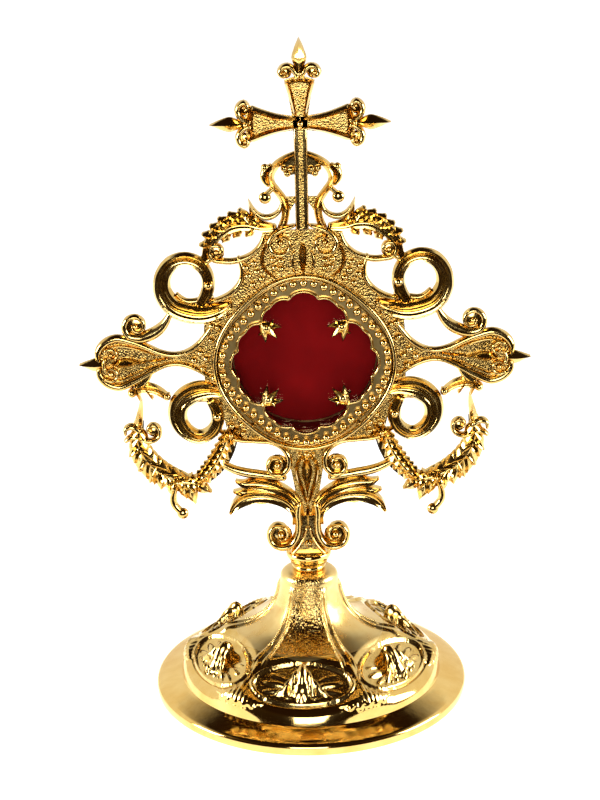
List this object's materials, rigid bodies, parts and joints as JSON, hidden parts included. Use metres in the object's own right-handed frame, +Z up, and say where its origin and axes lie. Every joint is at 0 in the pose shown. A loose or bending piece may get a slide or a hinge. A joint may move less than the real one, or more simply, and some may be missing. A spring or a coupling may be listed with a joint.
{
  "type": "reliquary monstrance",
  "caption": "Gilt brass reliquary monstrance: openwork diamond head with a glazed quatrefoil window, cross on top, hinged back door, turned stem and round panelled foot.",
  "frame": {"origin": "on the table, centre of the bounding box's underside, under the axis of the stem", "axes": "+Z up along the stem, front of the head faces -Y, +X to the viewer's right"},
  "size_m": [0.151, 0.11, 0.2278],
  "materials": {
    "gilt_polished": "mirror polished gold plate on cast brass",
    "gilt_cast": "gold plate on cast brass with a chased and granular ground",
    "gilt_plain": "satin gold plate on turned brass",
    "clear_glass": "flat clear glass",
    "red_velvet": "red velvet pile on card",
    "steel": "zinc plated steel",
    "spring_bronze": "bright rolled strip"
  },
  "bodies": {
    "stand": {"base_shell": "gilt_polished", "base_washer": "steel", "base_nut": "steel", "tie_rod": "steel", "stem_collar": "gilt_polished", "stem_cup": "gilt_polished", "head_frame": "gilt_cast", "cross": "gilt_cast", "garland_left": "gilt_cast", "garland_right": "gilt_cast", "bezel": "gilt_cast", "window_glass": "clear_glass", "glass_ring": "spring_bronze", "capsule": "gilt_plain", "capsule_screws": "gilt_plain", "hinge_pin": "gilt_plain", "catch_spring": "spring_bronze", "catch_rivets": "gilt_plain"},
    "back_door": {"door": "gilt_plain", "door_lining": "red_velvet"}
  },
  "joints": [
    {"name": "door_hinge", "type": "hinge", "parent": "stand", "child": "back_door", "pos_m": [-0.0292, 0.00885, 0.12], "axis": [0, 0, 1], "range_deg": [0, 110]}
  ]
}
